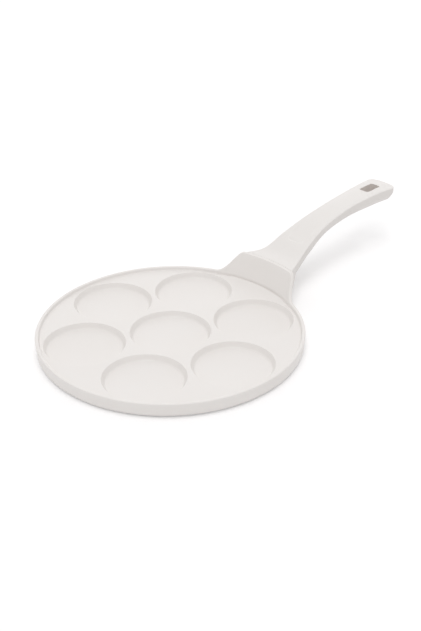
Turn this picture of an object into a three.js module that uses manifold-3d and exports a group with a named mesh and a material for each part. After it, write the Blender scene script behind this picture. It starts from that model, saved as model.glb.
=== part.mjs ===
// Seven-cup pancake pan: a coated aluminium casting with a phenolic handle bolted on behind its rim.
// Millimetres, +Z up. The origin is the centre of the underside, and the handle runs along +X.
import * as THREE from "three";
import { mergeVertices } from "three/addons/utils/BufferGeometryUtils.js";
import Module from "manifold-3d";

// Cups: one in the middle and a ring around it, with a web of metal between neighbours.
const cupRadius = 39.3; // where the wall would meet the deck in a sharp edge
const cupDepth = 5.2;
const cupWallLean = 0.6; // outward for each millimetre up
const cupEdgeRounding = 1.2;
const cupFloorRounding = 3;
const cupWeb = 5.3;
const cupsInRing = 6;

// Casting.
const floorThickness = 6.6; // under the cups, induction plate included
const cupMargin = 2.86; // deck between the outer cups and the foot of the lip
const lipDepth = 3.1; // lip's top above the deck
const lipWidth = 3.5;
const lipDraft = 0.21; // outward for each millimetre up, on the lip's inner wall
const lipRounding = 1;
const wallTaper = 1; // how much narrower the wall is at its foot
const footRounding = 1.3;
const footRise = 2; // how far the wall's foot stays off the surface that the base stands on
const baseMargin = 7; // from the flat base to the wall's foot

// Apron: the stretch of the lip that stands up in front of the handle.
const apronHeight = 20; // above the rest of the lip
const apronLean = 0.67; // outward for each millimetre up, in front and behind
const apronHalfWidth = 34.9; // at its top corners
const apronSpread = 12.4; // how much further each flank reaches at the rim
const apronCornerBlend = 4;
const apronFootBlend = 9;

// Induction plate, pressed flush into the underside.
const plateThickness = 0.8;
const plateMargin = 21; // from the plate's edge to that of the base

// Handle: sections along it, with how far each lies outside the rim and above the apron's top.
const handleEdgeRounding = 1.2;
const handleSide = 5; // height of the straight side under the top face
const collarInset = 3.5; // how far the collar's sides stay inside the apron's corners
const collarReach = 11;
const collarDrop = 0.3; // how far the collar's top lies under the apron's
const rootReach = -12; // inside the rim, so that the apron's back cuts the collar to fit
const rootFlare = 13.8; // how much wider the collar would be there
const skirtReach = 28; // where the collar's deep sides have come up to the grip's
const skirtFlare = 1.6; // how much wider the collar is at the foot of its sides
const skirtFoot = 3.7; // height of the rounded underside between them
const throatReach = 30;
const throatHalfWidth = 23.7;
const throatRise = 1.3;
const throatDepth = 23.6;
const neckReach = 54;
const neckHalfWidth = 19;
const neckRise = 11.9;
const neckDepth = 22;
const shoulderReach = 85;
const shoulderHalfWidth = 15.25;
const shoulderRise = 21.5;
const shoulderDepth = 15.3;
const waistReach = 126;
const waistHalfWidth = 13.75;
const waistRise = 27.6;
const waistDepth = 15.8;
const palmReach = 170;
const palmHalfWidth = 15.3;
const palmRise = 29.35;
const palmDepth = 18;
const tipReach = 191; // where the end's rounding starts
const tipHalfWidth = 17;
const tipRise = 28.6;
const tipDepth = 18;
const endLength = 8.8; // length of the rounded end
const endCornerInset = 7; // how far its corners come in from each side
const endDepth = 3.2; // left of its depth at the flat end face

// Hanging slot.
const slotLength = 22.4;
const slotWidth = 12;
const slotCorner = 2.5;
const slotFromEnd = 14.1;

// Bolt through the handle, into a threaded bush in a lug behind the apron.
const boltRadius = 3;
const boltPastBush = 1.2;
const boltHeadRadius = 5.2;
const boltHeadHeight = 4;
const boltHeadRounding = 1.6;
const crossLength = 5.4;
const crossWidth = 1.3;
const crossDepth = 2;
const springMargin = 0.1; // outside the bolt's head
const springThickness = 1.6;
const springSplit = 1.2;
const washerMargin = 0.5; // outside the spring washer
const washerThickness = 1.2;
const wellMargin = 0.7; // outside the flat washer
const seatWall = 5.7; // handle wall between the lug's end and the flat washer
const bushWall = 1.25;
const bushLength = 8.5;
const boreFloor = 2.86; // casting between the bolt's end and the apron's front
const lugWall = 1.8; // over and under the bush
const lugWidth = 22;
const lugCorner = 2;
const socketRoof = 5.2; // handle wall over the lug
const socketFloor = 3.2; // handle wall under it

// Clearances.
const fitGap = 0.3; // around what sits in a recess, and between the casting and the handle
const boltGap = 0.3; // around the bolt in the casting, the handle and the washers
const threadGap = 0.15; // between the bolt and the bush, whose threads engage

// Fineness of the rounded shapes.
const apronSteps = 52;
const rimSteps = 56;
const cupSteps = 40;
const roundingSteps = 2;
const handleRingSteps = 6;
const handleSteps = 42;
const endSteps = 4;
const boltSteps = 24;
const past = 5; // how far a cutting shape runs past what it cuts

const cream = new THREE.Color("#ece8e5");
const wasm = await Module();
wasm.setup();

// A closed geometry as a solid that can be joined and cut.
function solidOf(geometry) {
  const bare = geometry.clone();
  bare.deleteAttribute("normal");
  bare.deleteAttribute("uv");
  const merged = mergeVertices(bare, 1e-4);
  const corners = merged.index.array;
  const triVerts = [];
  for (let i = 0; i < corners.length; i += 3) {
    const [a, b, c] = corners.slice(i, i + 3);
    if (a !== b && b !== c && c !== a) triVerts.push(a, b, c);
  }
  const vertProperties = merged.attributes.position.array;
  const mesh = new wasm.Mesh({ numProp: 3, vertProperties, triVerts: new Uint32Array(triVerts) });
  return new wasm.Manifold(mesh);
}

function meshOf(name, solid, color, roughness, metalness) {
  const { vertProperties, triVerts } = solid.getMesh();
  const geometry = new THREE.BufferGeometry();
  geometry.setAttribute("position", new THREE.BufferAttribute(vertProperties, 3));
  geometry.setIndex(new THREE.BufferAttribute(triVerts, 1));
  geometry.computeVertexNormals();
  const mesh = new THREE.Mesh(geometry, new THREE.MeshStandardMaterial({ color, roughness, metalness }));
  mesh.name = name;
  return mesh;
}

// Rows of points joined into a surface. The last row joins the first if the rows close.
function surfaceOf(rows, rowsClose, rowIsRing) {
  const width = rows[0].length;
  const positions = rows.flat().flatMap((p) => [p.x, p.y, p.z]);
  const index = [];
  const at = (row, i) => (row % rows.length) * width + (i % width);
  for (let row = 0; row < rows.length - (rowsClose ? 0 : 1); row++) {
    for (let i = 0; i < width - (rowIsRing ? 0 : 1); i++) {
      index.push(at(row, i), at(row + 1, i), at(row + 1, i + 1));
      index.push(at(row, i), at(row + 1, i + 1), at(row, i + 1));
    }
  }
  for (let i = 1; rowIsRing && i < width - 1; i++) {
    const last = rows.length - 1;
    index.push(at(0, 0), at(0, i), at(0, i + 1));
    index.push(at(last, 0), at(last, i + 1), at(last, i));
  }
  const geometry = new THREE.BufferGeometry();
  geometry.setAttribute("position", new THREE.Float32BufferAttribute(positions, 3));
  geometry.setIndex(index);
  return geometry;
}

// A profile of (radius, height) points, listed from the bottom up, turned about Z.
function turned(profile, steps) {
  return new THREE.LatheGeometry(profile, steps).rotateX(Math.PI / 2);
}

// The same about the bolt's axis, where a height of 0 lies at x.
function turnedOnBolt(profile, x) {
  const geometry = new THREE.LatheGeometry(profile, boltSteps).rotateZ(-Math.PI / 2);
  return geometry.translate(x, 0, boltHeight);
}

function ring(innerRadius, outerRadius, thickness) {
  return [
    new THREE.Vector2(innerRadius, 0),
    new THREE.Vector2(outerRadius, 0),
    new THREE.Vector2(outerRadius, thickness),
    new THREE.Vector2(innerRadius, thickness),
    new THREE.Vector2(innerRadius, 0),
  ];
}

function rod(radius, length) {
  return [
    new THREE.Vector2(0, 0),
    new THREE.Vector2(radius, 0),
    new THREE.Vector2(radius, length),
    new THREE.Vector2(0, length),
  ];
}

function roundedRectangle(width, height, corner) {
  const x = width / 2;
  const y = height / 2;
  const shape = new THREE.Shape();
  shape.moveTo(corner - x, -y);
  shape.lineTo(x - corner, -y);
  shape.absarc(x - corner, corner - y, corner, -Math.PI / 2, 0);
  shape.absarc(x - corner, y - corner, corner, 0, Math.PI / 2);
  shape.absarc(corner - x, y - corner, corner, Math.PI / 2, Math.PI);
  shape.absarc(corner - x, corner - y, corner, Math.PI, 1.5 * Math.PI);
  return shape;
}

function extruded(shape, depth) {
  return new THREE.ExtrudeGeometry(shape, { depth, bevelEnabled: false, curveSegments: roundingSteps });
}

// The lower or higher of two heights, eased into each other where they cross.
function softMin(a, b, blend) {
  const near = Math.max(blend - Math.abs(a - b), 0);
  return Math.min(a, b) - (near * near) / (4 * blend);
}

function softMax(a, b, blend) {
  return -softMin(-a, -b, blend);
}

// Sizes that follow from the ones above.
const deckHeight = floorThickness + cupDepth;
const panHeight = deckHeight + lipDepth;
const cupPitch = 2 * cupRadius + cupWeb;
const cupRing = cupPitch / (2 * Math.sin(Math.PI / Math.max(cupsInRing, 6)));
const deckRadius = cupRing + cupRadius + cupMargin;
const lipRadius = deckRadius + lipDraft * (lipDepth - lipRounding); // where the lip's edge starts to round
const panRadius = lipRadius + lipWidth;
const footRadius = panRadius - wallTaper;
const baseRadius = footRadius - baseMargin;
const plateRadius = baseRadius - plateMargin;
const apronTop = panHeight + apronHeight;
const apronTopAngle = Math.asin(apronHalfWidth / (lipRadius + apronLean * (apronHeight + lipRounding)));
const apronFootAngle = Math.asin((apronHalfWidth + apronSpread) / panRadius);
const flankSlope = apronHeight / (apronFootAngle - apronTopAngle);
const apronSweep = apronFootAngle + apronFootBlend / flankSlope;
const leanStart = panHeight - lipRounding; // height from which the apron leans outwards
const bushRadius = boltRadius + threadGap + bushWall;
const springRadius = boltHeadRadius + springMargin;
const washerRadius = springRadius + washerMargin;
const wellRadius = washerRadius + wellMargin;
const lugHeight = 2 * (bushRadius + fitGap + lugWall);
const collarDepth = socketRoof + lugHeight + 2 * fitGap + socketFloor;
const collarTop = apronTop - collarDrop;
const collarHalfWidth = apronHalfWidth - collarInset;
const boltHeight = collarTop - socketRoof - fitGap - lugHeight / 2;
const boltHoleRadius = boltRadius + boltGap;
const boltHoleEnd = lipRadius + apronLean * (boltHeight + boltHoleRadius - leanStart) + boreFloor;
const boltEnd = boltHoleEnd + fitGap;
const bushStart = boltEnd + boltPastBush;
const lugEnd = bushStart + bushLength;
const seat = lugEnd + seatWall;
const springSeat = seat + washerThickness;
const headSeat = springSeat + springThickness;
const handleEnd = panRadius + tipReach + endLength;

// How far the lip stands up at an angle from the handle, which is nothing round most of the rim.
function apronRise(angle) {
  const away = Math.min(angle, 2 * Math.PI - angle);
  const flank = flankSlope * (apronFootAngle - Math.abs(away));
  return softMax(0, softMin(apronHeight, flank, apronCornerBlend), apronFootBlend);
}

// The casting's section at an angle from the handle, from the middle of its underside to that of its deck.
function castingSection(angle) {
  const rise = apronRise(angle);
  const top = panHeight + rise;
  const inner = lipRadius + apronLean * rise;
  const lean = (apronLean * rise + lipDraft * lipRounding) / (rise + lipRounding);
  const edge = inner + lean * lipRounding;
  const outer = inner + lipWidth;
  const wall = new THREE.Path();
  wall.moveTo(0, 0);
  wall.lineTo(baseRadius, 0);
  wall.lineTo(footRadius - footRounding, footRise);
  wall.quadraticCurveTo(footRadius, footRise, footRadius, footRise + footRounding);
  wall.lineTo(panRadius, leanStart);
  const lip = new THREE.Path();
  lip.moveTo(outer, top - lipRounding);
  lip.quadraticCurveTo(outer, top, outer - lipRounding, top);
  lip.lineTo(edge + lipRounding, top);
  lip.quadraticCurveTo(edge, top, inner, top - lipRounding);
  const deck = new THREE.Path();
  deck.moveTo(lipRadius, leanStart);
  deck.lineTo(deckRadius, deckHeight);
  deck.lineTo(0, deckHeight);
  const points = [wall, lip, deck].flatMap((path) => path.getPoints(roundingSteps));
  const [c, s] = [Math.cos(angle), Math.sin(angle)];
  return points.map((p) => new THREE.Vector3(p.x * c, p.x * s, p.y));
}

// Close steps round the apron and wider ones round the rest of the rim.
function castingAngles() {
  const angles = [];
  for (let i = 0; i < apronSteps; i++) {
    angles.push(apronSweep * ((2 * i) / apronSteps - 1));
  }
  for (let i = 0; i < rimSteps; i++) {
    angles.push(apronSweep + ((2 * Math.PI - 2 * apronSweep) * i) / rimSteps);
  }
  return angles;
}

// The space inside a cup, from its floor to above the deck. Its roundings stay within its wall and the webs.
function cupSpace() {
  const wall = new THREE.Vector2(cupWallLean * cupDepth, cupDepth);
  const edge = Math.min(cupEdgeRounding, cupMargin, cupWeb / 2, wall.length() / 2);
  const fillet = Math.min(cupFloorRounding, wall.length() / 2);
  const foot = new THREE.Vector2(cupRadius - wall.x, floorThickness);
  const filletEnd = foot.clone().addScaledVector(wall, fillet / wall.length());
  const edgeStart = foot.clone().addScaledVector(wall, 1 - edge / wall.length());
  const path = new THREE.Path();
  path.moveTo(0, foot.y);
  path.lineTo(foot.x - fillet, foot.y);
  path.quadraticCurveTo(foot.x, foot.y, filletEnd.x, filletEnd.y);
  path.lineTo(edgeStart.x, edgeStart.y);
  path.quadraticCurveTo(cupRadius, deckHeight, cupRadius + edge, deckHeight);
  path.lineTo(cupRadius + edge, deckHeight + past);
  path.lineTo(0, deckHeight + past);
  return turned(path.getPoints(roundingSteps), cupSteps);
}

function cupCentres() {
  const centres = [new THREE.Vector2(0, 0)];
  for (let i = 0; i < cupsInRing; i++) {
    const angle = (2 * Math.PI * (i + 0.5)) / cupsInRing;
    centres.push(new THREE.Vector2(cupRing * Math.cos(angle), cupRing * Math.sin(angle)));
  }
  return centres;
}

// Everything on the pan's side of its wall and of the apron's back, with an offset outwards.
function panSide(offset) {
  const top = apronTop + past;
  const radius = panRadius + offset;
  const profile = [
    new THREE.Vector2(0, -past),
    new THREE.Vector2(radius, -past),
    new THREE.Vector2(radius, leanStart),
    new THREE.Vector2(radius + apronLean * (top - leanStart), top),
    new THREE.Vector2(0, top),
  ];
  return solidOf(turned(profile, apronSteps + rimSteps));
}

// The lug as a bar along X that starts inside the pan, larger all round its sides by a gap.
function lugBar(gap) {
  const shape = roundedRectangle(lugWidth + 2 * gap, lugHeight + 2 * gap, lugCorner);
  const start = lipRadius - past;
  const toX = new THREE.Matrix4().makeBasis(
    new THREE.Vector3(0, 1, 0),
    new THREE.Vector3(0, 0, 1),
    new THREE.Vector3(1, 0, 0),
  );
  return solidOf(extruded(shape, lugEnd - start).applyMatrix4(toX).translate(start, 0, boltHeight));
}

function panBody() {
  let casting = solidOf(surfaceOf(castingAngles().map(castingSection), true, false));
  for (const centre of cupCentres()) {
    casting = casting.subtract(solidOf(cupSpace().translate(centre.x, centre.y, 0)));
  }
  const plateSpace = turned(rod(plateRadius + fitGap, plateThickness + past), apronSteps);
  const lug = lugBar(0).subtract(panSide(-lipWidth / 2));
  return casting
    .add(lug)
    .subtract(solidOf(plateSpace.translate(0, 0, -past)))
    .subtract(solidOf(turnedOnBolt(rod(bushRadius + fitGap, bushLength + past), bushStart)))
    .subtract(solidOf(turnedOnBolt(rod(boltHoleRadius, lugEnd - boltHoleEnd), boltHoleEnd)));
}

function inductionPlate() {
  return solidOf(turned(rod(plateRadius, plateThickness), apronSteps));
}

// A ring of points round the handle at one place along it, with deep sides where it covers the apron's back.
function handleRing(along, halfWidth, top, depth) {
  const grip = THREE.MathUtils.smoothstep(along, collarReach, skirtReach);
  const side = THREE.MathUtils.lerp(depth - skirtFoot, Math.min(handleSide, depth / 2), grip);
  const foot = halfWidth + skirtFlare * (1 - grip);
  const path = new THREE.Path();
  path.moveTo(0, top);
  path.lineTo(halfWidth - handleEdgeRounding, top);
  path.quadraticCurveTo(halfWidth, top, halfWidth, top - handleEdgeRounding);
  path.lineTo(foot, top - side);
  path.absellipse(0, top - side, foot, depth - side, 0, -Math.PI, true);
  path.lineTo(-halfWidth, top - handleEdgeRounding);
  path.quadraticCurveTo(-halfWidth, top, handleEdgeRounding - halfWidth, top);
  const points = path.getPoints(handleRingSteps);
  return points.map((p) => new THREE.Vector3(panRadius + along, p.x, p.y));
}

// Rings from inside the rim to the handle's end, on smooth curves through its sections, then round its end.
function handleRings() {
  const sections = [
    [rootReach, collarHalfWidth + rootFlare, 0, collarDepth],
    [collarReach, collarHalfWidth, 0, collarDepth],
    [throatReach, throatHalfWidth, throatRise, throatDepth],
    [neckReach, neckHalfWidth, neckRise, neckDepth],
    [shoulderReach, shoulderHalfWidth, shoulderRise, shoulderDepth],
    [waistReach, waistHalfWidth, waistRise, waistDepth],
    [palmReach, palmHalfWidth, palmRise, palmDepth],
    [tipReach, tipHalfWidth, tipRise, tipDepth],
  ];
  const smooth = (points) => new THREE.CatmullRomCurve3(points, false, "catmullrom");
  const top = smooth(sections.map(([along, halfWidth, rise]) => new THREE.Vector3(along, halfWidth, rise)));
  const under = smooth(sections.map(([along, , , depth]) => new THREE.Vector3(along, depth, 0)));
  const rings = [];
  for (let i = 0; i <= handleSteps; i++) {
    const edge = top.getPoint(i / handleSteps);
    const depth = under.getPoint(i / handleSteps).y;
    rings.push(handleRing(edge.x, edge.y, collarTop + edge.z, depth));
  }
  for (let i = 1; i <= endSteps; i++) {
    const turn = (Math.PI / 2) * (i / endSteps);
    const along = tipReach + endLength * Math.sin(turn);
    const halfWidth = tipHalfWidth - endCornerInset * (1 - Math.cos(turn));
    const depth = tipDepth + (endDepth - tipDepth) * Math.sin(turn);
    rings.push(handleRing(along, halfWidth, collarTop + tipRise, depth));
  }
  return rings;
}

function handle() {
  const slotCentre = handleEnd - slotFromEnd - slotLength / 2;
  const slotHeight = collarTop + palmRise + past;
  const slot = extruded(roundedRectangle(slotLength, slotWidth, slotCorner), slotHeight);
  const well = turnedOnBolt(rod(wellRadius, neckReach), seat);
  const boltHole = turnedOnBolt(rod(boltHoleRadius, seatWall + 2 * past), lugEnd - past);
  return solidOf(surfaceOf(handleRings(), false, true))
    .subtract(panSide(fitGap))
    .subtract(lugBar(fitGap))
    .subtract(solidOf(boltHole))
    .subtract(solidOf(well))
    .subtract(solidOf(slot.translate(slotCentre, 0, 0)));
}

function threadBush() {
  return solidOf(turnedOnBolt(ring(boltRadius + threadGap, bushRadius, bushLength), bushStart));
}

function handleBolt() {
  const path = new THREE.Path();
  path.moveTo(0, boltEnd - headSeat);
  path.lineTo(boltRadius, boltEnd - headSeat);
  path.lineTo(boltRadius, 0);
  path.lineTo(boltHeadRadius, 0);
  path.lineTo(boltHeadRadius, boltHeadHeight - boltHeadRounding);
  path.quadraticCurveTo(boltHeadRadius, boltHeadHeight, boltHeadRadius - boltHeadRounding, boltHeadHeight);
  path.lineTo(0, boltHeadHeight);
  let bolt = solidOf(turnedOnBolt(path.getPoints(roundingSteps), headSeat));
  const bottom = headSeat + boltHeadHeight - crossDepth;
  for (const [width, height] of [[crossLength, crossWidth], [crossWidth, crossLength]]) {
    const arm = new THREE.BoxGeometry(2 * crossDepth, width, height);
    bolt = bolt.subtract(solidOf(arm.translate(bottom + crossDepth, 0, boltHeight)));
  }
  return bolt;
}

function flatWasher() {
  return solidOf(turnedOnBolt(ring(boltHoleRadius, washerRadius, washerThickness), seat));
}

function springWasher() {
  const whole = solidOf(turnedOnBolt(ring(boltHoleRadius, springRadius, springThickness), springSeat));
  const gap = new THREE.BoxGeometry(2 * past, springSplit, 2 * springRadius);
  return whole.subtract(solidOf(gap.translate(springSeat, 0, boltHeight + springRadius)));
}

const pan = new THREE.Group();
pan.add(
  meshOf("pan_body", panBody(), cream, 0.45, 0),
  meshOf("induction_plate", inductionPlate(), "#b9b9b6", 0.35, 1),
  meshOf("handle", handle(), cream, 0.6, 0),
  meshOf("thread_bush", threadBush(), "#a9a8a3", 0.4, 1),
  meshOf("handle_bolt", handleBolt(), "#b4b4b2", 0.3, 1),
  meshOf("flat_washer", flatWasher(), "#b4b4b2", 0.35, 1),
  meshOf("spring_washer", springWasher(), "#9d9d9b", 0.35, 1),
);

export default pan;
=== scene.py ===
import math

import bmesh
import bpy
from mathutils import Matrix, Vector


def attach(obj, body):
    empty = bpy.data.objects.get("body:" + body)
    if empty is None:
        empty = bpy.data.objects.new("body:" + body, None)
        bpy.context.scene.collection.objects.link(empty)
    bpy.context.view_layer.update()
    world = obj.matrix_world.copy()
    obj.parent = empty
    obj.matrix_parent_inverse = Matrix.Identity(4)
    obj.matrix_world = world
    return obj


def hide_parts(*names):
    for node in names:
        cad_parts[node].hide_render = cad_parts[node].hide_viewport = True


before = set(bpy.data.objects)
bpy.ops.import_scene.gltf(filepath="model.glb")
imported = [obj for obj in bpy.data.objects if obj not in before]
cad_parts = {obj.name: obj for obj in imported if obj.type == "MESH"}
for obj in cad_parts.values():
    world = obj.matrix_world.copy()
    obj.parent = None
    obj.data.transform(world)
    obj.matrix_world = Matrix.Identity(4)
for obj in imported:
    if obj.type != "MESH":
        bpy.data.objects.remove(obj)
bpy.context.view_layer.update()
mm = 0.001      # sizes below are in millimetres and degrees, Blender's are in metres
tiny = 1e-6     # lengths below this count as none
scene = bpy.context.scene
print("frame loaded with nodes", ", ".join(sorted(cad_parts)))


# small helpers for node trees, used by shapes and finishes alike
def linkOrSet(tree, socket, value):
    if isinstance(value, bpy.types.NodeSocket):
        tree.links.new(value, socket)
    else:
        socket.default_value = value


def addNode(tree, kind, sockets=None, **settings):
    node = tree.nodes.new(kind)
    for name, value in settings.items():
        setattr(node, name, value)
    for key, value in (sockets or {}).items():
        linkOrSet(tree, node.inputs[key], value)
    return node.outputs[0]


def mathNode(tree, operation, *values):
    return addNode(tree, "ShaderNodeMath", dict(enumerate(values)), operation=operation)


def rangeNode(tree, value, low, high, fromLow=0.0, fromHigh=1.0):
    return addNode(tree, "ShaderNodeMapRange", {
        "Value": value, "From Min": fromLow, "From Max": fromHigh, "To Min": low, "To Max": high})


def pointNode(tree, x=0.0, y=0.0, z=0.0):
    return addNode(tree, "ShaderNodeCombineXYZ", {"X": x, "Y": y, "Z": z})


def freshTree(owner):
    owner.use_nodes = True
    owner.node_tree.nodes.clear()
    return owner.node_tree


def newShapeTree(name, inputs):
    tree = bpy.data.node_groups.new(name, "GeometryNodeTree")
    tree.interface.new_socket("Geometry", in_out="OUTPUT", socket_type="NodeSocketGeometry")
    tree.interface.new_socket("Geometry", in_out="INPUT", socket_type="NodeSocketGeometry")
    for label, kind in inputs:
        tree.interface.new_socket(label, in_out="INPUT", socket_type="NodeSocket" + kind)
    return tree, tree.nodes.new("NodeGroupInput").outputs


def joinNode(tree, *parts):
    node = tree.nodes.new("GeometryNodeJoinGeometry")
    for part in parts:
        tree.links.new(part, node.inputs[0])
    return node.outputs[0]


def copiesNode(tree, places, shape):
    copies = addNode(tree, "GeometryNodeInstanceOnPoints", {"Points": places, "Instance": shape})
    return addNode(tree, "GeometryNodeRealizeInstances", {"Geometry": copies})


def circleNode(tree, steps, radius):
    return addNode(tree, "GeometryNodeCurvePrimitiveCircle", {"Resolution": steps, "Radius": radius})


def closeShapeTree(tree, geometry, material):
    welded = addNode(tree, "GeometryNodeMergeByDistance", {
        "Geometry": geometry, "Distance": meshRepair["treeWeld"] * mm})
    smooth = addNode(tree, "GeometryNodeSetShadeSmooth", {"Geometry": welded, "Shade Smooth": True})
    real = addNode(tree, "GeometryNodeRealizeInstances", {"Geometry": smooth})
    coated = addNode(tree, "GeometryNodeSetMaterial", {"Geometry": real, "Material": material})
    output = tree.nodes.new("NodeGroupOutput")
    tree.links.new(coated, output.inputs[0])


def applyShapeTree(piece, tree, values):
    modifier = piece.modifiers.new("shape", "NODES")
    modifier.node_group = tree
    for item in tree.interface.items_tree:
        if item.in_out == "INPUT" and item.name in values:
            modifier[item.identifier] = values[item.name]
    bakeModifiers(piece)


# mesh helpers
meshRepair = {
    "treeWeld": 0.004, "weld": 0.002,   # points closer than this are one
    "shortest": 0.001,                  # shorter edges are dissolved
    "smoothAll": 180,                   # sharp angle for a mesh that is still to be cut
}


def bakeModifiers(piece):
    graph = bpy.context.evaluated_depsgraph_get()
    made = bpy.data.meshes.new_from_object(piece.evaluated_get(graph))
    piece.modifiers.clear()
    old = piece.data
    piece.data = made
    bpy.data.meshes.remove(old)


def meshPiece(name, points, faces, material=None):
    mesh = bpy.data.meshes.new(name)
    mesh.from_pydata([Vector(p) * mm for p in points], [], faces)
    if material:
        mesh.materials.append(material)
    piece = bpy.data.objects.new(name, mesh)
    scene.collection.objects.link(piece)
    return piece


def dropBackToBack(bm):
    # slivers that a cut leaves folded on themselves
    sameCorners = {}
    for face in bm.faces:
        sameCorners.setdefault(frozenset(face.verts), []).append(face)
    folded = [face for faces in sameCorners.values() if len(faces) > 1 for face in faces]
    bmesh.ops.delete(bm, geom=folded, context="FACES")


def tidyMesh(piece, sharpDegrees):
    bm = bmesh.new()
    bm.from_mesh(piece.data)
    bmesh.ops.remove_doubles(bm, verts=bm.verts, dist=meshRepair["weld"] * mm)
    bmesh.ops.dissolve_degenerate(bm, edges=bm.edges, dist=meshRepair["shortest"] * mm)
    bmesh.ops.triangulate(bm, faces=[face for face in bm.faces if len(face.verts) > 4])
    dropBackToBack(bm)
    bmesh.ops.recalc_face_normals(bm, faces=bm.faces)
    for face in bm.faces:
        face.smooth = True
    openEdges = sum(1 for edge in bm.edges if not edge.is_manifold)
    bm.to_mesh(piece.data)
    bm.free()
    piece.data.set_sharp_from_angle(angle=math.radians(sharpDegrees))
    print(f"{piece.name}: {len(piece.data.polygons)} faces, {openEdges} open edges")


def loftPiece(name, rings, material=None):
    # skin over rings of equal count, capped at both ends
    count = len(rings[0])
    points = [p for ring in rings for p in ring]
    faces = []
    for here in range(0, len(points) - count, count):
        there = here + count
        for k in range(count):
            nextK = (k + 1) % count
            faces.append((here + k, here + nextK, there + nextK, there + k))
    faces.append(tuple(range(count - 1, -1, -1)))
    faces.append(tuple(range(len(points) - count, len(points))))
    return meshPiece(name, points, faces, material)


def combinePiece(piece, tools, operation="DIFFERENCE", finishes="TRANSFER"):
    for tool in tools:
        modifier = piece.modifiers.new("combine", "BOOLEAN")
        modifier.operation = operation
        modifier.solver = "EXACT"
        modifier.material_mode = finishes
        modifier.object = tool
    bpy.context.view_layer.update()
    bakeModifiers(piece)
    for tool in tools:
        mesh = tool.data
        bpy.data.objects.remove(tool)
        bpy.data.meshes.remove(mesh)


# lines and outlines
def clamp(value, low=0.0, high=1.0):
    return max(low, min(high, value))


def ease(value):
    value = clamp(value)
    return value * value * (3 - 2 * value)


def lerp(a, b, t):
    return a + (b - a) * t


def softMin(a, b, blend):
    return min(a, b) - max(blend - abs(a - b), 0) ** 2 / (4 * blend)


def quarterTurns(steps):
    return [math.pi / 2 * k / steps for k in range(steps + 1)]


def pointsBetween(start, end, shares):
    return [Vector(start).lerp(Vector(end), share) for share in shares]


def roundCorner(before, corner, after, setback, steps):
    # points of a curve that leaves one side and joins the other at the setback
    corner = Vector(corner)
    start = corner + (Vector(before) - corner).normalized() * setback
    end = corner + (Vector(after) - corner).normalized() * setback
    middle = (start + end) / 2
    half = (end - start).length / 2
    reach = (corner - middle).length
    if half < tiny or reach < tiny:
        return [start.lerp(end, k / steps) for k in range(steps + 1)]
    radius = half * setback / reach
    centre = middle - (corner - middle).normalized() * math.sqrt(radius ** 2 - half ** 2)
    spread = math.asin(clamp(half / radius, -1, 1))
    across = (end - start).normalized()
    outward = (corner - middle).normalized()
    arc = []
    for k in range(steps + 1):
        angle = lerp(-spread, spread, k / steps)
        arc.append(centre + across * radius * math.sin(angle) + outward * radius * math.cos(angle))
    return arc


def roundedRectangle(width, height, corner, steps):
    loop = []
    for quarter, (sideY, sideZ) in enumerate(((1, 1), (-1, 1), (-1, -1), (1, -1))):
        centreY = sideY * (width / 2 - corner)
        centreZ = sideZ * (height / 2 - corner)
        for k in range(steps + 1):
            turn = math.pi / 2 * (quarter + k / steps)
            loop.append((centreY + corner * math.cos(turn), centreZ + corner * math.sin(turn)))
    return loop


def circleLoop(x, radius, height, steps):
    turns = [2 * math.pi * k / steps for k in range(steps)]
    return [(x, radius * math.cos(t), height + radius * math.sin(t)) for t in turns]


# finishes; scales are per metre, heights in millimetres
def newMaterial(name):
    material = bpy.data.materials.new(name)
    tree = freshTree(material)
    shader = tree.nodes.new("ShaderNodeBsdfPrincipled")
    output = tree.nodes.new("ShaderNodeOutputMaterial")
    tree.links.new(shader.outputs[0], output.inputs["Surface"])
    place = tree.nodes.new("ShaderNodeTexCoord").outputs["Object"]
    return material, tree, shader, place


def noiseNode(tree, place, scale, detail):
    return addNode(tree, "ShaderNodeTexNoise", {"Vector": place, "Scale": scale, "Detail": detail})


def blendNode(tree, factor, first, second):
    node = tree.nodes.new("ShaderNodeMix")
    node.data_type = "RGBA"
    for key, value in ((0, factor), (6, first), (7, second)):   # the sockets for colours
        linkOrSet(tree, node.inputs[key], value)
    return node.outputs[2]


def dressShader(tree, shader, colour, roughness):
    tree.links.new(colour, shader.inputs["Base Color"])
    tree.links.new(roughness, shader.inputs["Roughness"])


def addBump(tree, shader, relief, height, strength):
    bump = addNode(tree, "ShaderNodeBump", {
        "Strength": strength, "Distance": height * mm, "Height": relief})
    tree.links.new(bump, shader.inputs["Normal"])


coatingLook = {
    "cream": (0.838, 0.806, 0.783, 1),
    "warmCream": (0.826, 0.791, 0.764, 1),
    "driftScale": 14,          # broad tone drift of the sprayed coat
    "driftSpan": (0.3, 0.7),   # part of the drift's noise that shows
    "grainScale": 950,         # orange peel of about a millimetre
    "roughness": (0.36, 0.46),
    "peelHeight": 0.012, "peelStrength": 0.5,
}


def ceramicCoating(look):
    material, tree, shader, place = newMaterial("creamCeramicCoating")
    drift = noiseNode(tree, place, look["driftScale"], detail=3)
    grain = noiseNode(tree, place, look["grainScale"], detail=2)
    tone = rangeNode(tree, drift, 0.0, 1.0, *look["driftSpan"])
    coat = blendNode(tree, tone, look["cream"], look["warmCream"])
    dressShader(tree, shader, coat, rangeNode(tree, grain, *look["roughness"]))
    addBump(tree, shader, grain, look["peelHeight"], look["peelStrength"])
    return material


softTouchLook = {
    "cream": (0.85, 0.82, 0.797, 1),
    "greyCream": (0.835, 0.804, 0.78, 1),
    "shadedSideCream": (0.78, 0.745, 0.72, 1),   # painted shade: sides that turn away from up are drawn darker, as less light falls on them
    "sideShadeTurn": (0.15, 0.6),   # upward part of the surface's direction over which the painted side shade fades out
    "driftScale": 22, "driftSpan": (0.3, 0.7),
    "grainScale": 2600,        # fine matt grain of the moulding's paint
    "roughness": (0.48, 0.6),
    "grainHeight": 0.008, "grainStrength": 0.5,
}


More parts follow.
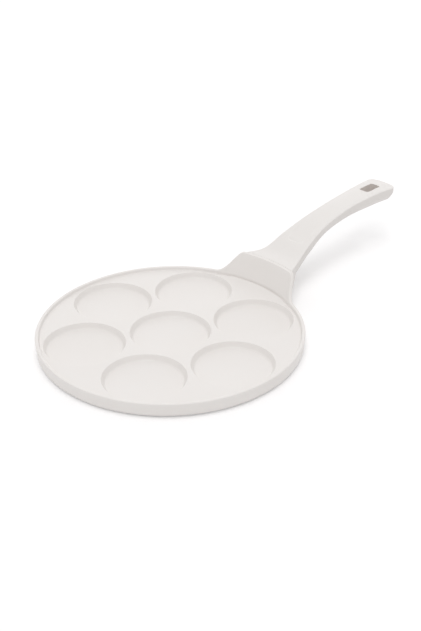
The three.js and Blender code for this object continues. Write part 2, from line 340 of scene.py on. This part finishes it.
def softTouchCoating(look):
    material, tree, shader, place = newMaterial("creamSoftTouchCoating")
    drift = noiseNode(tree, place, look["driftScale"], detail=3)
    grain = noiseNode(tree, place, look["grainScale"], detail=1)
    tone = rangeNode(tree, drift, 0.0, 1.0, *look["driftSpan"])
    # painted shade: the cream darkens as the surface turns from facing up to facing sideways or down
    facing = addNode(tree, "ShaderNodeSeparateXYZ", {0: place.node.outputs["Normal"]}).node.outputs["Z"]
    unshadedShare = rangeNode(tree, facing, 0.0, 1.0, *look["sideShadeTurn"])
    coat = blendNode(tree, tone, look["cream"], look["greyCream"])
    coat = blendNode(tree, unshadedShare, look["shadedSideCream"], coat)
    dressShader(tree, shader, coat, rangeNode(tree, grain, *look["roughness"]))
    addBump(tree, shader, grain, look["grainHeight"], look["grainStrength"])
    return material


mouldingLook = {
    "tan": (0.76, 0.71, 0.675, 1),
    "darkTan": (0.67, 0.62, 0.585, 1),
    "flowScale": 160,          # streaks where the resin flowed
    "roughness": (0.5, 0.68),
}


def bareResinWithShade(look):
    # the moulding where the sprayed coat does not reach, in a tan darker than the cream that is partly
    # bare resin and partly painted shade inside the slot and holes
    material, tree, shader, place = newMaterial("bareMouldingWithShade")
    flow = noiseNode(tree, place, look["flowScale"], detail=4)
    resin = blendNode(tree, flow, look["tan"], look["darkTan"])
    dressShader(tree, shader, resin, rangeNode(tree, flow, *look["roughness"]))
    return material


plateSteelLook = {
    "steel": (0.56, 0.55, 0.53, 1),
    "darkSteel": (0.47, 0.46, 0.45, 1),
    "blotchScale": 40,
    "turningScale": 1400,      # lathe marks along the radius
    "roughness": (0.24, 0.42),
    "markHeight": 0.01, "markStrength": 0.6,
}


def turnedSteel(look):
    material, tree, shader, place = newMaterial("turnedPlateSteel")
    shader.inputs["Metallic"].default_value = 1.0
    flat = addNode(tree, "ShaderNodeVectorMath", {0: place, 1: (1, 1, 0)}, operation="MULTIPLY")
    radius = addNode(tree, "ShaderNodeVectorMath", {0: flat}, operation="LENGTH").node.outputs["Value"]
    marks = addNode(tree, "ShaderNodeTexNoise", {
        "W": radius, "Scale": look["turningScale"], "Detail": 3.0}, noise_dimensions="1D")
    blotch = noiseNode(tree, place, look["blotchScale"], detail=3)
    steel = blendNode(tree, blotch, look["steel"], look["darkSteel"])
    dressShader(tree, shader, steel, rangeNode(tree, marks, *look["roughness"]))
    addBump(tree, shader, marks, look["markHeight"], look["markStrength"])
    return material


fastenerLook = {
    "zinc": (0.60, 0.60, 0.59, 1),
    "dullZinc": (0.50, 0.50, 0.50, 1),
    "blotchScale": 225, "grainScale": 1800,
    "roughness": (0.28, 0.46),
}


def zincSteel(look):
    material, tree, shader, place = newMaterial("zincFastenerSteel")
    shader.inputs["Metallic"].default_value = 1.0
    grain = noiseNode(tree, place, look["grainScale"], detail=3)
    blotch = noiseNode(tree, place, look["blotchScale"], detail=2)
    zinc = blendNode(tree, blotch, look["zinc"], look["dullZinc"])
    dressShader(tree, shader, zinc, rangeNode(tree, grain, *look["roughness"]))
    return material


panCoat = ceramicCoating(coatingLook)
handleCoat = softTouchCoating(softTouchLook)
bareMouldingWithShade = bareResinWithShade(mouldingLook)
plateSteel = turnedSteel(plateSteelLook)
boltSteel = zincSteel(fastenerLook)
print("finishes made")


# casting: rim, apron and underside in one shell, cups by the node tree
casting = {
    "cupRadius": 39.3, "cupDepth": 5.2, "cupWallRun": 3.12, "cupLedge": 0.6, "cupSteps": 160,
    "cupEdgeRounding": 0.6, "cupFloorRounding": 2.8, "cupRoundingSteps": 7,
    "cupRing": 83.9, "ringCups": 6, "ringTurn": 30,
    "deckHeight": 11.8, "deckOpening": 125.0, "deckRadius": 126.05,
    # fine groove in front of the apron, which turns into a low cove round the rest of the lip
    "grooveWidth": 0.9, "grooveDepth": 0.9, "grooveFloor": 0.2, "grooveEdge": 0.12, "grooveEdgeSteps": 3,
    "grooveFull": 20, "grooveEnd": 38, "coveRise": 0.6, "coveInner": 0.4, "coveOuter": 0.85,
    "lipRadius": 126.5, "panHeight": 14.9, "lipDraft": 0.3, "lipRounding": 1.0,
    "panRadius": 130.0, "wallTop": 13.9,
    # apron at the handle, with a sharp back edge only where the collar's top meets it
    "apronHeight": 20.0, "apronLean": 0.67, "apronFootAngle": 21.335, "flankSlope": 164.7,
    "apronCornerBlend": 4.0, "apronFootBlend": 9.0, "apronFootShift": 1.0,
    "apronFrontRounding": 0.6, "apronFrontSteps": 5,
    "apronBackRounding": 0.05, "flankBackRounding": 1.7, "apronBackSteps": 6, "seamBlend": 4.0,
    # foot and underside, with a recess for the base plate
    "footRadius": 129.0, "footRise": 2.0, "footRounding": 1.3, "footSteps": 8,
    "baseRadius": 122.0, "baseRounding": 2.0, "baseSteps": 4,
    "recessRadius": 101.3, "recessDepth": 0.8, "recessChamfer": 0.4, "recessBand": 1.0,
    # shares of each flat where extra points keep its shading flat
    "coveHold": (0.1, 0.9), "riserHold": (0, 0.05, 0.95), "lipHold": (0.15, 0.85),
    "apronHold": (0.04, 0.96, 1), "wallHold": (0.05, 0.95),
    "apronReach": 27, "apronStep": 0.5, "rimStep": 1.0, "sharpDegrees": 35,
    # hollow lug for the handle, with the bush's seat and the bolt's hole
    "lugWidth": 22, "lugHeight": 13, "lugCorner": 2, "lugCornerSteps": 6, "lugRoot": 2.0, "lugEnd": 147.4,
    "lugBore": 4.4, "bushStart": 138.9, "boltHole": 3.3, "boltHoleEnd": 137.4, "boltHeight": 22.6,
}


def apronRise(angle, c):
    flank = c["flankSlope"] * (math.radians(c["apronFootAngle"]) - abs(angle))
    capped = softMin(c["apronHeight"], flank, c["apronCornerBlend"])
    return -softMin(0, -capped, c["apronFootBlend"])


def rimSection(angle, c):
    # radius and height from the deck's edge over the lip, down the wall and in under the foot
    rise = apronRise(angle, c)
    risen = ease(rise / c["apronHeight"])
    seamed = ease((rise - c["apronHeight"] + c["seamBlend"]) / c["seamBlend"])
    grooved = ease((c["grooveEnd"] - abs(math.degrees(angle))) / (c["grooveEnd"] - c["grooveFull"]))
    shift = c["apronFootShift"] * risen
    front = lerp(c["lipRounding"], c["apronFrontRounding"], risen)
    back = lerp(c["flankBackRounding"], c["apronBackRounding"], seamed)
    back = lerp(c["lipRounding"], back, risen)

    deck, cove = c["deckHeight"], c["coveRise"]
    deckRadius = c["deckRadius"] + shift
    bottom = cove - c["grooveDepth"]
    deckEdge = (c["deckOpening"], deck)
    grooveEdge = (deckRadius - c["grooveWidth"], deck + cove * risen)
    grooveInner = (deckRadius - 2 * c["grooveFloor"], deck + lerp(c["coveInner"] * cove, bottom, grooved))
    grooveOuter = (deckRadius - c["grooveFloor"] / 2, deck + lerp(c["coveOuter"] * cove, bottom, grooved))

    top = c["panHeight"] + rise
    drop = c["panHeight"] - c["wallTop"]
    lean = (c["apronLean"] * rise + c["lipDraft"] * drop) / (rise + drop)
    outer = c["panRadius"] + c["apronLean"] * rise
    knee = (c["lipRadius"] + shift, c["wallTop"])
    lipInner = (c["lipRadius"] + lean * (rise + drop), top)
    lipOuter = (outer, top)
    wallKnee = (c["panRadius"], c["wallTop"])

    foot = (c["footRadius"], c["footRise"])
    base = (c["baseRadius"], 0)
    recess, chamfer = c["recessRadius"], c["recessChamfer"]
    underside = (recess + chamfer, 0)

    line = [Vector(deckEdge)]
    line += roundCorner(deckEdge, grooveEdge, grooveInner, c["grooveEdge"], c["grooveEdgeSteps"])
    line += [Vector(grooveInner), Vector(grooveOuter)]
    line += pointsBetween(grooveOuter, knee, c["coveHold"])
    lipStart = roundCorner(knee, lipInner, lipOuter, front, c["apronFrontSteps"])
    line += pointsBetween(knee, lipStart[0], c["riserHold"]) + lipStart
    lipEnd = roundCorner(lipInner, lipOuter, (outer, 0), back, c["apronBackSteps"])
    line += pointsBetween(line[-1], lipEnd[0], c["lipHold"]) + lipEnd
    line += pointsBetween(line[-1], wallKnee, c["apronHold"])
    footStart = roundCorner(wallKnee, foot, base, c["footRounding"], c["footSteps"])
    line += pointsBetween(line[-1], footStart[0], c["wallHold"]) + footStart
    line += roundCorner(foot, base, underside, c["baseRounding"], c["baseSteps"])
    line += [Vector((recess + c["recessBand"], 0)), Vector(underside)]
    line += [Vector((recess, chamfer)), Vector((recess, c["recessDepth"]))]
    line += [Vector((recess - c["recessBand"], c["recessDepth"]))]
    return line


def rimShell(c):
    # the section swept round, closer together at the apron
    degrees, step = [], -180.0
    while step < 180:
        degrees.append(step)
        atApron = -c["apronReach"] <= step < c["apronReach"]
        step += c["apronStep"] if atApron else c["rimStep"]
    points = []
    for degree in degrees:
        angle = math.radians(degree)
        section = rimSection(angle, c)
        points += [(p.x * math.cos(angle), p.x * math.sin(angle), p.y) for p in section]
    rows, count = len(degrees), len(section)
    faces = []
    for row in range(rows):
        here, there = row * count, ((row + 1) % rows) * count
        for k in range(count - 1):
            faces.append((here + k, there + k, there + k + 1, here + k + 1))
    faces.append(tuple(row * count + count - 1 for row in range(rows)))
    return meshPiece("panCasting", points, faces)


def cupDeckTree():
    tree, given = newShapeTree("cupDeck", (
        ("Cup radius", "Float"), ("Cup depth", "Float"), ("Wall run", "Float"),
        ("Edge rounding", "Float"), ("Floor rounding", "Float"), ("Rounding steps", "Int"),
        ("Ledge", "Float"), ("Ring radius", "Float"), ("Ring cups", "Int"), ("Ring turn", "Float"),
        ("Cup steps", "Int"), ("Deck height", "Float"), ("Coating", "Material")))
    # half of a cup's section, from its middle up to the deck, rounded and swept round
    middleX = mathNode(tree, "MULTIPLY", given["Cup radius"], -1.0)
    floorX = mathNode(tree, "MULTIPLY", given["Wall run"], -1.0)
    corners = addNode(tree, "GeometryNodeCurvePrimitiveQuadrilateral", {
        "Point 1": pointNode(tree, middleX, given["Cup depth"]),
        "Point 2": pointNode(tree, floorX, given["Cup depth"]),
        "Point 3": pointNode(tree),
        "Point 4": pointNode(tree, given["Ledge"])}, mode="POINTS")
    section = addNode(tree, "GeometryNodeSetSplineCyclic", {"Geometry": corners, "Cyclic": False})
    index = addNode(tree, "GeometryNodeInputIndex")
    isFloor = mathNode(tree, "COMPARE", index, 1.0, 0.1)
    growth = mathNode(tree, "SUBTRACT", given["Floor rounding"], given["Edge rounding"])
    rounding = mathNode(tree, "MULTIPLY_ADD", isFloor, growth, given["Edge rounding"])
    rounded = addNode(tree, "GeometryNodeFilletCurve", {
        "Curve": section, "Count": given["Rounding steps"], "Radius": rounding,
        "Limit Radius": True}, mode="POLY")
    path = circleNode(tree, given["Cup steps"], given["Cup radius"])
    cup = addNode(tree, "GeometryNodeCurveToMesh", {"Curve": path, "Profile Curve": rounded})
    mouthRadius = mathNode(tree, "ADD", given["Cup radius"], given["Ledge"])
    mouth = circleNode(tree, given["Cup steps"], mouthRadius)
    # a ring of cups and one in the middle
    ring = addNode(tree, "GeometryNodeMeshCircle", {
        "Vertices": given["Ring cups"], "Radius": given["Ring radius"]})
    lift = pointNode(tree, z=given["Deck height"])
    ring = addNode(tree, "GeometryNodeTransform", {
        "Geometry": ring, "Translation": lift, "Rotation": pointNode(tree, z=given["Ring turn"])})
    middle = addNode(tree, "GeometryNodePoints", {"Count": 1, "Position": lift})
    places = joinNode(tree, ring, middle)
    cups = copiesNode(tree, places, cup)
    mouths = copiesNode(tree, places, mouth)
    # the deck fills the shell's open edge, apart from the mouths
    neighbours = addNode(tree, "GeometryNodeInputMeshEdgeNeighbors")
    isOpen = mathNode(tree, "COMPARE", neighbours, 1.0, 0.1)
    edge = addNode(tree, "GeometryNodeMeshToCurve", {"Mesh": given["Geometry"], "Selection": isOpen})
    deck = addNode(tree, "GeometryNodeFillCurve", {"Curve": joinNode(tree, edge, mouths)})
    deck = addNode(tree, "GeometryNodeTransform", {"Geometry": deck, "Translation": lift})
    closeShapeTree(tree, joinNode(tree, given["Geometry"], deck, cups), given["Coating"])
    return tree


def handleLug(c):
    # hollow bar behind the apron that the handle slides over, rooted inside the apron
    height = c["boltHeight"]
    outline = roundedRectangle(c["lugWidth"], c["lugHeight"], c["lugCorner"], c["lugCornerSteps"])
    turns = [math.atan2(z, y) for y, z in outline]
    root = []
    for y, z in outline:
        radius = c["lipRadius"] + c["apronLean"] * (height + z - c["wallTop"]) + c["lugRoot"]
        root.append((math.sqrt(radius ** 2 - y ** 2), y, z + height))
    loops = [root, [(c["lugEnd"], y, z + height) for y, z in outline]]
    for x, radius in ((c["lugEnd"], c["lugBore"]), (c["bushStart"], c["lugBore"]),
                      (c["bushStart"], c["boltHole"]), (c["boltHoleEnd"], c["boltHole"])):
        loops.append([(x, radius * math.cos(t), height + radius * math.sin(t)) for t in turns])
    return loftPiece("handleLug", loops)


panCasting = rimShell(casting)
panCasting.data.validate()
applyShapeTree(panCasting, cupDeckTree(), {
    "Cup radius": casting["cupRadius"] * mm, "Cup depth": casting["cupDepth"] * mm,
    "Wall run": casting["cupWallRun"] * mm, "Ledge": casting["cupLedge"] * mm,
    "Edge rounding": casting["cupEdgeRounding"] * mm,
    "Floor rounding": casting["cupFloorRounding"] * mm, "Rounding steps": casting["cupRoundingSteps"],
    "Ring radius": casting["cupRing"] * mm, "Ring cups": casting["ringCups"],
    "Ring turn": math.radians(casting["ringTurn"]), "Cup steps": casting["cupSteps"],
    "Deck height": casting["deckHeight"] * mm, "Coating": panCoat})
tidyMesh(panCasting, casting["sharpDegrees"])
combinePiece(panCasting, [handleLug(casting)], "UNION", "INDEX")
tidyMesh(panCasting, casting["sharpDegrees"])
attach(panCasting, "root")
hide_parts("pan_body")


# base plate: perforated steel disc pressed into the underside
basePlate = {
    "radius": 101.0, "thickness": 0.8, "edgeSteps": 192,
    "holeRadius": 2.1, "holeSteps": 16,
    "ringPitch": 11.2, "rings": 8, "holesPerRing": 6,   # each ring has that many more than the last
    "sharpDegrees": 30,
}


def perforatedPlateTree(plate):
    tree, given = newShapeTree("perforatedPlate", (
        ("Plate radius", "Float"), ("Thickness", "Float"), ("Hole radius", "Float"),
        ("Ring pitch", "Float"), ("Steel", "Material")))
    rings = []
    for ring in range(1, plate["rings"] + 1):
        radius = mathNode(tree, "MULTIPLY", given["Ring pitch"], float(ring))
        rings.append(addNode(tree, "GeometryNodeMeshCircle", {
            "Vertices": plate["holesPerRing"] * ring, "Radius": radius}))
    hole = circleNode(tree, plate["holeSteps"], given["Hole radius"])
    holes = copiesNode(tree, joinNode(tree, *rings), hole)
    edge = circleNode(tree, plate["edgeSteps"], given["Plate radius"])
    sheet = addNode(tree, "GeometryNodeFillCurve", {"Curve": joinNode(tree, edge, holes)})
    top = addNode(tree, "GeometryNodeExtrudeMesh", {
        "Mesh": sheet, "Offset": pointNode(tree, z=1.0), "Offset Scale": given["Thickness"],
        "Individual": False})
    under = addNode(tree, "GeometryNodeFlipFaces", {"Mesh": sheet})
    closeShapeTree(tree, joinNode(tree, top, under), given["Steel"])
    return tree


inductionPlate = meshPiece("inductionPlate", [], [])
applyShapeTree(inductionPlate, perforatedPlateTree(basePlate), {
    "Plate radius": basePlate["radius"] * mm, "Thickness": basePlate["thickness"] * mm,
    "Hole radius": basePlate["holeRadius"] * mm, "Ring pitch": basePlate["ringPitch"] * mm,
    "Steel": plateSteel})
tidyMesh(inductionPlate, basePlate["sharpDegrees"])
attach(inductionPlate, "root")
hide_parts("induction_plate")


# handle: sections down its length as reach, half width, top and depth
handleSizes = {
    "sections": (
        (118, 45.2, 34.8, 22.2), (127, 40, 34.8, 22.2), (141, 31.4, 34.8, 22.2),
        (160, 23.7, 35.9, 23.6), (184, 19, 46.5, 22), (215, 15.4, 56.1, 15.3),
        (256, 14.1, 62.2, 16), (300, 15.7, 63.95, 18.2), (321, 17.3, 63.2, 18.2)),
    "station": 1.0, "topSteps": 48, "edgeSteps": 7, "underSteps": 44, "sharpDegrees": 38,
    "edgeRounding": 1.0, "side": 5.0,
    # deep sides of the collar, which run out into the neck
    "skirtSide": 18.5, "skirtFlare": 1.6, "skirtFull": 141, "skirtEnd": 158,
    "crown": 0.7, "crownStart": 205, "crownFull": 255,
    "end": 329.8, "endCorner": 7, "endDepth": 3.2, "endSweep": 1.45, "endDrop": 0.2, "endSteps": 12,
    "endRounding": 0.8, "endRoundingSteps": 5,
    # thumb rest, with closer stations in the sections about its lower end
    "restStart": 177.8, "restHalfWidth": 11.6, "restCorner": 7.0, "restDepth": 0.55,
    "restEdge": 1.7, "restFadeStart": 184, "restFadeEnd": 214,
    "restBefore": 2, "restAfter": 4, "restFiner": 3,
    # the cut along the apron, closer at its top than below
    "collarGap": 0.02, "shadowGap": 0.6, "seamDepth": 1.0, "seamStep": 0.4,
    "apronCutFoot": 2, "apronCutTop": 45,
    # socket for the lug, hole for the bolt and the well for its head
    "fitGap": 0.3, "socketStart": 120, "boltHole": 3.3, "boltHoleStart": 140, "boltHoleSteps": 48,
    "well": 6.5, "wellStart": 153.1, "wellLength": 54, "wellSteps": 96, "wellOverlap": 2,
    # hanging slot, coated as far as its rounded mouth
    "slotLength": 22.4, "slotWidth": 12, "slotCorner": 2.5, "slotCornerSteps": 8, "slotCentre": 304.5,
    "slotMouth": 0.5, "slotMouthSteps": 6, "slotFoot": 20, "slotTop": 64.6, "slotOver": 5,
    "coatedFrom": 253.75, "coatedTurn": 0.15,
}


def handleStations(h):
    # even curve through the sections, then the rounded end
    rows = [Vector(s) for s in h["sections"]]
    rows = [rows[0] * 2 - rows[1]] + rows + [rows[-1] * 2 - rows[-2]]
    stations = []
    for i in range(1, len(rows) - 2):
        before, here, there, after = rows[i - 1:i + 3]
        steps = round((there[0] - here[0]) / h["station"])
        if here[0] < h["restStart"] + h["restAfter"] and there[0] > h["restStart"] - h["restBefore"]:
            steps *= h["restFiner"]
        leave, arrive = (there - before) / 2, (after - here) / 2
        for k in range(steps):
            t = k / steps
            stations.append((2 * here - 2 * there + leave + arrive) * t ** 3
                            + (3 * there - 3 * here - 2 * leave - arrive) * t ** 2 + leave * t + here)
    tip = rows[-2]
    length = h["end"] - tip[0]
    for turn in quarterTurns(h["endSteps"]):
        x = tip[0] + length * math.sin(turn)
        corner = clamp((x - h["end"] + h["endCorner"]) / h["endCorner"])
        halfWidth = tip[1] - h["endCorner"] * (1 - math.sqrt(1 - corner ** 2))
        depth = lerp(tip[3], h["endDepth"], math.sin(turn) ** h["endSweep"])
        if x < h["end"] - h["endRounding"] / 2:
            stations.append(Vector((x, halfWidth, tip[2] - h["endDrop"] * corner, depth)))
    return stations


def thumbRest(x, y, h):
    # shallow rest for the thumb, rounded at its lower end, that fades out up the neck
    corner = h["restCorner"]
    along = h["restStart"] + corner - x
    across = abs(y) - (h["restHalfWidth"] - corner)
    away = math.hypot(max(along, 0), max(across, 0)) + min(max(along, across), 0) - corner
    fade = 1 - ease((x - h["restFadeStart"]) / (h["restFadeEnd"] - h["restFadeStart"]))
    return -h["restDepth"] * ease(-away / h["restEdge"]) * fade


def handleRing(station, h, inset=0.0):
    # one section: flat top, rounded edges, straight sides and an elliptical underside
    x, halfWidth, top, depth = station
    halfWidth, top, depth = halfWidth - inset, top - inset, depth - 2 * inset
    edge = h["edgeRounding"]
    skirt = 1 - ease((x - h["skirtFull"]) / (h["skirtEnd"] - h["skirtFull"]))
    side = lerp(min(h["side"], depth / 2), h["skirtSide"], skirt)
    lower = halfWidth + h["skirtFlare"] * skirt
    flat = halfWidth - edge
    shoulder = [(flat + edge * math.sin(turn), top - edge * (1 - math.cos(turn)))
                for turn in quarterTurns(h["edgeSteps"])[1:]]
    shoulder.append(((halfWidth + lower) / 2, lerp(top - edge, top - side, 0.5)))
    ring = [(lerp(-flat, flat, k / h["topSteps"]), top) for k in range(h["topSteps"] + 1)]
    ring += shoulder
    for k in range(h["underSteps"] + 1):
        turn = math.pi * k / h["underSteps"]
        ring.append((lower * math.cos(turn), top - side - (depth - side) * math.sin(turn)))
    ring += [(-y, z) for y, z in reversed(shoulder)]
    crown = h["crown"] * ease((x - h["crownStart"]) / (h["crownFull"] - h["crownStart"]))
    placed = []
    for y, z in ring:
        if z > top - edge - tiny:
            z += crown * max(0, 1 - (y / halfWidth) ** 2) + thumbRest(x, y, h)
        placed.append((x, y, z))
    return placed


def handleBlank(h):
    # the whole handle before it is cut, with its end rounded off
    stations = handleStations(h)
    rings = [handleRing(station, h) for station in stations]
    rounding, last = h["endRounding"], stations[-1]
    for turn in quarterTurns(h["endRoundingSteps"])[1:]:
        x = h["end"] - rounding * (1 - math.sin(turn))
        if x > last[0]:
            rings.append(handleRing(Vector((x, *last[1:])), h, rounding * (1 - math.cos(turn))))
    return loftPiece("panHandle", rings, handleCoat)


def roundCutter(name, radius, start, end, height, steps):
    loops = [circleLoop(x, radius, height, steps) for x in (start, end)]
    return loftPiece(name, loops, bareMouldingWithShade)


def apronCutter(c, h):
    # the collar meets the apron at its top and stands off it below
    seam = c["panHeight"] + c["apronHeight"] - h["seamDepth"]
    loops = []
    for z, gap in ((h["apronCutFoot"], h["shadowGap"]), (c["wallTop"], h["shadowGap"]),
                   (seam - h["seamStep"], h["shadowGap"]), (seam, h["collarGap"]),
                   (h["apronCutTop"], h["collarGap"])):
        radius = c["panRadius"] + gap + c["apronLean"] * max(0, z - c["wallTop"])
        turns = [math.radians(degree) for degree in range(360)]
        loops.append([(radius * math.cos(t), radius * math.sin(t), z) for t in turns])
    return loftPiece("apronCutter", loops)


def socketCutter(c, h):
    gap = h["fitGap"]
    outline = roundedRectangle(c["lugWidth"] + 2 * gap, c["lugHeight"] + 2 * gap, c["lugCorner"] + gap,
                               c["lugCornerSteps"])
    loops = [[(x, y, z + c["boltHeight"]) for y, z in outline] for x in (h["socketStart"], c["lugEnd"])]
    return loftPiece("socketCutter", loops, bareMouldingWithShade)


def slotCutter(h):
    # straight slot with a rounded mouth at the top face
    mouth, levels = h["slotMouth"], [(h["slotFoot"], 0.0)]
    for turn in quarterTurns(h["slotMouthSteps"]):
        levels.append((h["slotTop"] - mouth * (1 - math.sin(turn)), mouth * (1 - math.cos(turn))))
    levels.append((h["slotTop"] + h["slotOver"], mouth))
    loops = []
    for height, grow in levels:
        outline = roundedRectangle(h["slotLength"] + 2 * grow, h["slotWidth"] + 2 * grow,
                                   h["slotCorner"] + grow, h["slotCornerSteps"])
        loops.append([(h["slotCentre"] + u, v, height) for u, v in outline])
    # the slot's inside takes the darker bare moulding, partly painted shade
    return loftPiece("slotCutter", loops, bareMouldingWithShade)


def handleCutters(c, h):
    wellStart, height = h["wellStart"], c["boltHeight"]
    return [
        apronCutter(c, h), socketCutter(c, h),
        roundCutter("boltCutter", h["boltHole"], h["boltHoleStart"], wellStart + h["wellOverlap"],
                    height, h["boltHoleSteps"]),
        roundCutter("wellCutter", h["well"], wellStart, wellStart + h["wellLength"],
                    height, h["wellSteps"]),
        slotCutter(h)]


panHandle = handleBlank(handleSizes)
tidyMesh(panHandle, meshRepair["smoothAll"])
combinePiece(panHandle, handleCutters(casting, handleSizes))
for face in panHandle.data.polygons:
    if face.center.x > handleSizes["coatedFrom"] * mm and face.normal.z > handleSizes["coatedTurn"]:
        face.material_index = 0   # the slot's rounded mouth is still coated
tidyMesh(panHandle, handleSizes["sharpDegrees"])
print("handle finishes:", ", ".join(slot.name for slot in panHandle.material_slots))
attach(panHandle, "root")
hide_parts("handle")


# bolt: cross head, grooved shank
boltSizes = {
    "start": 137.7, "radius": 3.0, "rootRadius": 2.5, "axisRadius": 0.01, "steps": 64,
    "pitch": 1.0, "crest": (0.4, 0.6), "threadLead": 0.2, "threadEnd": 147.5, "runOut": 0.4,
    "headSeat": 155.9, "headRadius": 5.2, "headHeight": 4.0, "seatChamfer": 0.2,
    "headRounding": 1.6, "headSteps": 8, "sharpDegrees": 32,
    "crossLength": 5.4, "crossWidth": 1.3, "crossDepth": 2.0, "crossTaper": 0.6,
    "crossCorner": 0.2, "crossCornerSteps": 3, "crossOver": 2,
}


def boltOutline(b):
    # place along the axis and radius, from the shank's end to the middle of the head
    x, root, full, chamfer = b["start"] + b["threadLead"], b["rootRadius"], b["radius"], b["seatChamfer"]
    line = [(b["start"], b["axisRadius"]), (b["start"], root)]
    while x + b["pitch"] < b["threadEnd"]:
        line += [(x, root)] + [(x + b["pitch"] * share, full) for share in b["crest"]]
        x += b["pitch"]
    line += [(x, root), (x + b["runOut"], full), (b["headSeat"], full)]
    line += [(b["headSeat"], b["headRadius"] - chamfer), (b["headSeat"] + chamfer, b["headRadius"])]
    end = b["headSeat"] + b["headHeight"]
    for turn in quarterTurns(b["headSteps"]):
        line.append((end - b["headRounding"] * (1 - math.sin(turn)),
                     b["headRadius"] - b["headRounding"] * (1 - math.cos(turn))))
    return line + [(end, b["axisRadius"])]


def crossCutters(b, height):
    # two bars that get shorter towards the floor of the recess
    end = b["headSeat"] + b["headHeight"]
    full, wide, short = b["crossLength"], b["crossWidth"], b["crossLength"] * b["crossTaper"]
    bars = []
    for mouth, floor in (((full, wide), (short, wide)), ((wide, full), (wide, short))):
        loops = []
        for x, size in ((end - b["crossDepth"], floor), (end, mouth), (end + b["crossOver"], mouth)):
            outline = roundedRectangle(*size, b["crossCorner"], b["crossCornerSteps"])
            loops.append([(x, y, z + height) for y, z in outline])
        bars.append(loftPiece("crossCutter", loops))
    return bars


def handleBolt(b, height):
    loops = [circleLoop(x, radius, height, b["steps"]) for x, radius in boltOutline(b)]
    piece = loftPiece("handleBolt", loops, boltSteel)
    tidyMesh(piece, meshRepair["smoothAll"])
    combinePiece(piece, crossCutters(b, height))
    tidyMesh(piece, b["sharpDegrees"])
    return piece


bolt = handleBolt(boltSizes, casting["boltHeight"])
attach(bolt, "root")
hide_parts("handle_bolt")

# hidden bush and washers keep their solids with a real finish
for name in ("thread_bush", "flat_washer", "spring_washer"):
    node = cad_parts[name]
    node.data.materials.clear()
    node.data.materials.append(boltSteel)
print("fasteners finished")


# studio; its own sizes are in metres
studio = {
    "floorSize": 8.0, "floorDrop": 0.0001,
    "floorTint": (0.96, 0.96, 0.96, 1), "shownTint": (0.92, 0.914, 0.918, 1), "floorGlow": 0.16,
    "skyTint": (1, 1, 1, 1), "skyLevel": 0.69, "skyShown": 1.0,
    "lamps": (   # name, level, softness, lean from overhead, compass angle about Z
        ("overheadLamp", 0.46, 28, 0, 0),
        ("backLamp", 0.39, 50, 76, 45),
        ("frontLamp", 0.325, 28, 27, -145)),
    "cameraPlace": (-0.66826, -0.72313, 0.59941), "cameraAim": (0.0596, 0.0047, 0.0024),
    "cameraRoll": -0.57, "lens": 67.7, "sensor": 36, "viewEnd": 50,
}


def seenDirectly(tree):
    rays = tree.nodes.new("ShaderNodeLightPath").outputs
    shown = mathNode(tree, "MAXIMUM", rays["Is Camera Ray"], rays["Is Glossy Ray"])
    return mathNode(tree, "MAXIMUM", shown, rays["Is Transmission Ray"])


def makeFloor(s):
    half, level = s["floorSize"] / 2 / mm, -s["floorDrop"] / mm
    corners = [(x * half, y * half, level) for x, y in ((-1, -1), (1, -1), (1, 1), (-1, 1))]
    floor = meshPiece("studioFloor", corners, [(0, 1, 2, 3)])
    material = bpy.data.materials.new("palePaper")
    tree = freshTree(material)
    shown = seenDirectly(tree)
    paper = addNode(tree, "ShaderNodeBsdfDiffuse", {
        "Color": blendNode(tree, shown, s["floorTint"], s["shownTint"])})
    glow = addNode(tree, "ShaderNodeEmission", {
        "Strength": mathNode(tree, "MULTIPLY", shown, s["floorGlow"])})
    both = addNode(tree, "ShaderNodeAddShader", {0: paper, 1: glow})
    output = tree.nodes.new("ShaderNodeOutputMaterial")
    tree.links.new(both, output.inputs["Surface"])
    floor.data.materials.append(material)


def makeSky(s):
    world = bpy.data.worlds.new("studioSky")
    scene.world = world
    tree = freshTree(world)
    level = rangeNode(tree, seenDirectly(tree), s["skyLevel"], s["skyShown"])
    sky = addNode(tree, "ShaderNodeBackground", {"Color": s["skyTint"], "Strength": level})
    output = tree.nodes.new("ShaderNodeOutputWorld")
    tree.links.new(sky, output.inputs["Surface"])


def addLamp(name, level, softness, lean, compass):
    # soft sun that leans away from straight overhead towards a compass angle about Z
    data = bpy.data.lights.new(name, "SUN")
    data.energy = level
    data.angle = math.radians(softness)
    lamp = bpy.data.objects.new(name, data)
    lamp.rotation_euler = (0, math.radians(lean), math.radians(compass))
    scene.collection.objects.link(lamp)


def addCamera(s):
    data = bpy.data.cameras.new("photoCamera")
    data.lens = s["lens"]
    data.sensor_width = s["sensor"]
    data.clip_end = s["viewEnd"]
    camera = bpy.data.objects.new("photoCamera", data)
    place = Vector(s["cameraPlace"])
    turn = (Vector(s["cameraAim"]) - place).to_track_quat("-Z", "Y")
    camera.matrix_world = (Matrix.Translation(place) @ turn.to_matrix().to_4x4()
                           @ Matrix.Rotation(math.radians(s["cameraRoll"]), 4, "Z"))
    scene.collection.objects.link(camera)
    scene.camera = camera


makeFloor(studio)
makeSky(studio)
for lampSettings in studio["lamps"]:
    addLamp(*lampSettings)
addCamera(studio)
scene.view_settings.view_transform = "Standard"
print("studio ready")
